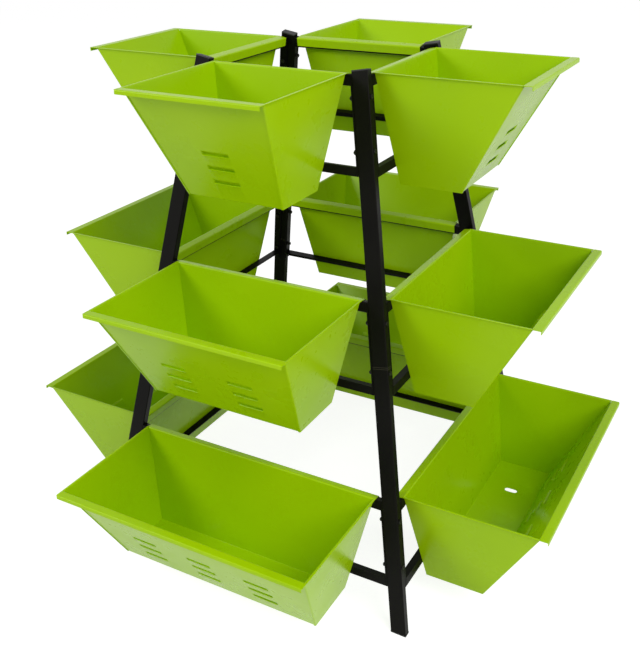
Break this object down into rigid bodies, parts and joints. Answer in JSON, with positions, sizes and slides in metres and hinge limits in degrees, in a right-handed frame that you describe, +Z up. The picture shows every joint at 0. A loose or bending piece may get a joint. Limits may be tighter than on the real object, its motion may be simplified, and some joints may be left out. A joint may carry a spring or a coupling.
{
  "type": "tiered planter",
  "caption": "Tapered four-legged tower with sheet metal planter troughs hooked on rails in three tiers round all four sides.",
  "frame": {"origin": "on the floor under the middle of the tower", "axes": "+Z up, -Y towards the front side's troughs, +X towards the right side's troughs"},
  "size_m": [1.518, 1.4774, 1.3149],
  "materials": {
    "green_sheet": "glossy green powder coat",
    "black_tube": "satin black powder coat",
    "black_plastic": "matt black",
    "black_bolts": "black zinc",
    "plain_steel": "zinc plated"
  },
  "bodies": {
    "tower": {"front_right_leg_upper": "black_tube", "front_left_leg_upper": "black_tube", "back_right_leg_upper": "black_tube", "back_left_leg_upper": "black_tube", "front_right_leg_lower": "black_tube", "front_left_leg_lower": "black_tube", "back_right_leg_lower": "black_tube", "back_left_leg_lower": "black_tube", "leg_sleeves": "plain_steel", "leg_caps_front": "black_plastic", "leg_caps_back": "black_plastic", "foot_plugs_front": "black_plastic", "foot_plugs_back": "black_plastic", "top_front_rail": "black_tube", "top_right_rail": "black_tube", "top_back_rail": "black_tube", "top_left_rail": "black_tube", "middle_front_rail": "black_tube", "middle_right_rail": "black_tube", "middle_back_rail": "black_tube", "middle_left_rail": "black_tube", "low_front_rail": "black_tube", "low_right_rail": "black_tube", "low_back_rail": "black_tube", "low_left_rail": "black_tube", "top_front_stay": "black_tube", "top_right_stay": "black_tube", "top_back_stay": "black_tube", "top_left_stay": "black_tube", "middle_front_stay": "black_tube", "middle_right_stay": "black_tube", "middle_back_stay": "black_tube", "middle_left_stay": "black_tube", "low_front_stay": "black_tube", "low_right_stay": "black_tube", "low_back_stay": "black_tube", "low_left_stay": "black_tube", "top_end_plates": "black_tube", "middle_end_plates": "black_tube", "low_end_plates": "black_tube", "through_bolts": "black_bolts", "side_bolts": "black_bolts", "lock_nuts": "black_bolts", "rivet_nuts": "plain_steel"},
    "top_front": {"top_front_trough": "green_sheet"},
    "top_right": {"top_right_trough": "green_sheet"},
    "top_back": {"top_back_trough": "green_sheet"},
    "top_left": {"top_left_trough": "green_sheet"},
    "middle_front": {"middle_front_trough": "green_sheet"},
    "middle_right": {"middle_right_trough": "green_sheet"},
    "middle_back": {"middle_back_trough": "green_sheet"},
    "middle_left": {"middle_left_trough": "green_sheet"},
    "low_front": {"low_front_trough": "green_sheet"},
    "low_right": {"low_right_trough": "green_sheet"},
    "low_back": {"low_back_trough": "green_sheet"},
    "low_left": {"low_left_trough": "green_sheet"}
  },
  "joints": [
    {"name": "top_front_lift", "type": "slide", "parent": "tower", "child": "top_front", "axis": [0, 0.1771, 0.9842], "range_m": [0, 0.05]},
    {"name": "top_right_lift", "type": "slide", "parent": "tower", "child": "top_right", "axis": [-0.1771, 0, 0.9842], "range_m": [0, 0.05]},
    {"name": "top_back_lift", "type": "slide", "parent": "tower", "child": "top_back", "axis": [0, -0.1771, 0.9842], "range_m": [0, 0.05]},
    {"name": "top_left_lift", "type": "slide", "parent": "tower", "child": "top_left", "axis": [0.1771, 0, 0.9842], "range_m": [0, 0.05]},
    {"name": "middle_front_lift", "type": "slide", "parent": "tower", "child": "middle_front", "axis": [0, 0.1771, 0.9842], "range_m": [0, 0.05]},
    {"name": "middle_right_lift", "type": "slide", "parent": "tower", "child": "middle_right", "axis": [-0.1771, 0, 0.9842], "range_m": [0, 0.05]},
    {"name": "middle_back_lift", "type": "slide", "parent": "tower", "child": "middle_back", "axis": [0, -0.1771, 0.9842], "range_m": [0, 0.05]},
    {"name": "middle_left_lift", "type": "slide", "parent": "tower", "child": "middle_left", "axis": [0.1771, 0, 0.9842], "range_m": [0, 0.05]},
    {"name": "low_front_lift", "type": "slide", "parent": "tower", "child": "low_front", "axis": [0, 0.1771, 0.9842], "range_m": [0, 0.05]},
    {"name": "low_right_lift", "type": "slide", "parent": "tower", "child": "low_right", "axis": [-0.1771, 0, 0.9842], "range_m": [0, 0.05]},
    {"name": "low_back_lift", "type": "slide", "parent": "tower", "child": "low_back", "axis": [0, -0.1771, 0.9842], "range_m": [0, 0.05]},
    {"name": "low_left_lift", "type": "slide", "parent": "tower", "child": "low_left", "axis": [0.1771, 0, 0.9842], "range_m": [0, 0.05]}
  ]
}
